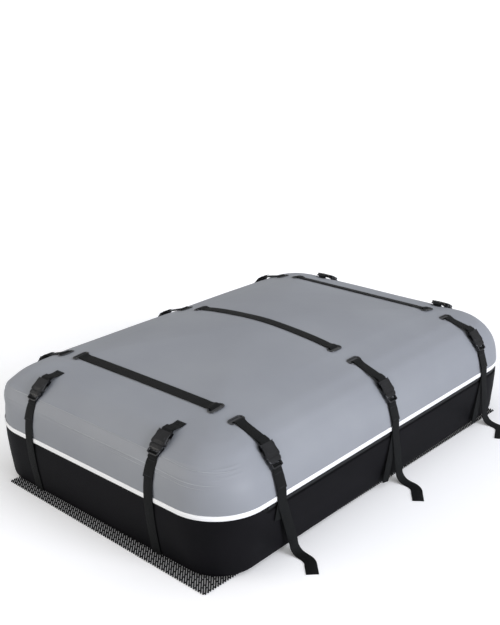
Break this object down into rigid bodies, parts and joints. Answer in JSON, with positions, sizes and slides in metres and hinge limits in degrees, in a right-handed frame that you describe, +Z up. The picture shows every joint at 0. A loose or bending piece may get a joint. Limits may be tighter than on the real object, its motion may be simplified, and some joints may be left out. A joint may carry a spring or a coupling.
{
  "type": "roof cargo bag",
  "caption": "Soft rectangular roof cargo bag with zipped lid, webbing through slot eyelets, side-release buckles and an open mesh mat underneath.",
  "frame": {"origin": "on the ground under the middle of the bag, on the mat's underside", "axes": "+Z up, +Y along the length to the rear zip end, +X across the width"},
  "size_m": [1.1207, 1.3258, 0.3542],
  "materials": {
    "cover_fabric": "coated, satin",
    "tub_fabric": "coated, satin",
    "hem": "reflective, smooth",
    "zip_tape": "woven",
    "webbing": "woven",
    "buckle_plastic": "moulded",
    "slider_metal": "satin",
    "mat": "coated mesh"
  },
  "bodies": {
    "root": {"base_tub": "tub_fabric", "top_cover": "cover_fabric", "reflective_hem": "hem", "zip_chain": "zip_tape", "anti_slip_mat": "mat", "cross_web_front": "webbing", "cross_web_middle": "webbing", "cross_web_rear": "webbing", "upper_strap_front_left": "webbing", "upper_strap_front_right": "webbing", "upper_strap_rear_left": "webbing", "upper_strap_rear_right": "webbing", "lower_strap_right_front": "webbing", "lower_strap_right_middle": "webbing", "lower_strap_right_rear": "webbing", "lower_strap_left_front": "webbing", "lower_strap_left_middle": "webbing", "lower_strap_left_rear": "webbing", "lower_strap_front_left": "webbing", "lower_strap_front_right": "webbing", "lower_strap_rear_left": "webbing", "lower_strap_rear_right": "webbing", "eyelet_front_left_outer": "buckle_plastic", "eyelet_front_left_inner": "buckle_plastic", "eyelet_front_right_inner": "buckle_plastic", "eyelet_front_right_outer": "buckle_plastic", "eyelet_middle_left_outer": "buckle_plastic", "eyelet_middle_left_inner": "buckle_plastic", "eyelet_middle_right_inner": "buckle_plastic", "eyelet_middle_right_outer": "buckle_plastic", "eyelet_rear_left_outer": "buckle_plastic", "eyelet_rear_left_inner": "buckle_plastic", "eyelet_rear_right_inner": "buckle_plastic", "eyelet_rear_right_outer": "buckle_plastic", "buckle_socket_right_front": "buckle_plastic", "buckle_socket_right_middle": "buckle_plastic", "buckle_socket_right_rear": "buckle_plastic", "buckle_socket_left_front": "buckle_plastic", "buckle_socket_left_middle": "buckle_plastic", "buckle_socket_left_rear": "buckle_plastic", "buckle_socket_front_left": "buckle_plastic", "buckle_socket_front_right": "buckle_plastic", "buckle_socket_rear_left": "buckle_plastic", "buckle_socket_rear_right": "buckle_plastic"},
    "slider_left": {"zip_slider_left": "slider_metal"},
    "tab_left": {"pull_tab_left": "buckle_plastic"},
    "slider_right": {"zip_slider_right": "slider_metal"},
    "tab_right": {"pull_tab_right": "buckle_plastic"},
    "plug_right_front": {"buckle_plug_right_front": "buckle_plastic"},
    "plug_right_middle": {"buckle_plug_right_middle": "buckle_plastic"},
    "plug_right_rear": {"buckle_plug_right_rear": "buckle_plastic"},
    "plug_left_front": {"buckle_plug_left_front": "buckle_plastic"},
    "plug_left_middle": {"buckle_plug_left_middle": "buckle_plastic"},
    "plug_left_rear": {"buckle_plug_left_rear": "buckle_plastic"},
    "plug_front_left": {"buckle_plug_front_left": "buckle_plastic"},
    "plug_front_right": {"buckle_plug_front_right": "buckle_plastic"},
    "plug_rear_left": {"buckle_plug_rear_left": "buckle_plastic"},
    "plug_rear_right": {"buckle_plug_rear_right": "buckle_plastic"}
  },
  "joints": [
    {"name": "zip_slide_left", "type": "slide", "parent": "root", "child": "slider_left", "axis": [-1, 0, 0], "range_m": [0, 0.16]},
    {"name": "pull_swing_left", "type": "hinge", "parent": "slider_left", "child": "tab_left", "pos_m": [-0.022, 0.6545, 0.14925], "axis": [1, 0, 0], "range_deg": [0, 175]},
    {"name": "zip_slide_right", "type": "slide", "parent": "root", "child": "slider_right", "axis": [1, 0, 0], "range_m": [0, 0.16]},
    {"name": "pull_swing_right", "type": "hinge", "parent": "slider_right", "child": "tab_right", "pos_m": [0.022, 0.6545, 0.14925], "axis": [1, 0, 0], "range_deg": [0, 175]},
    {"name": "buckle_release_right_front", "type": "slide", "parent": "root", "child": "plug_right_front", "axis": [0.618, 0, -0.7862], "range_m": [0, 0.03]},
    {"name": "buckle_release_right_middle", "type": "slide", "parent": "root", "child": "plug_right_middle", "axis": [0.6021, 0, -0.7984], "range_m": [0, 0.03]},
    {"name": "buckle_release_right_rear", "type": "slide", "parent": "root", "child": "plug_right_rear", "axis": [0.6277, 0, -0.7784], "range_m": [0, 0.03]},
    {"name": "buckle_release_left_front", "type": "slide", "parent": "root", "child": "plug_left_front", "axis": [-0.618, 0, -0.7862], "range_m": [0, 0.03]},
    {"name": "buckle_release_left_middle", "type": "slide", "parent": "root", "child": "plug_left_middle", "axis": [-0.6021, 0, -0.7984], "range_m": [0, 0.03]},
    {"name": "buckle_release_left_rear", "type": "slide", "parent": "root", "child": "plug_left_rear", "axis": [-0.6277, 0, -0.7784], "range_m": [0, 0.03]},
    {"name": "buckle_release_front_left", "type": "slide", "parent": "root", "child": "plug_front_left", "axis": [0, -0.7718, -0.6359], "range_m": [0, 0.03]},
    {"name": "buckle_release_front_right", "type": "slide", "parent": "root", "child": "plug_front_right", "axis": [0, -0.7718, -0.6359], "range_m": [0, 0.03]},
    {"name": "buckle_release_rear_left", "type": "slide", "parent": "root", "child": "plug_rear_left", "axis": [0, 0.9226, -0.3859], "range_m": [0, 0.03]},
    {"name": "buckle_release_rear_right", "type": "slide", "parent": "root", "child": "plug_rear_right", "axis": [0, 0.9226, -0.3859], "range_m": [0, 0.03]}
  ]
}
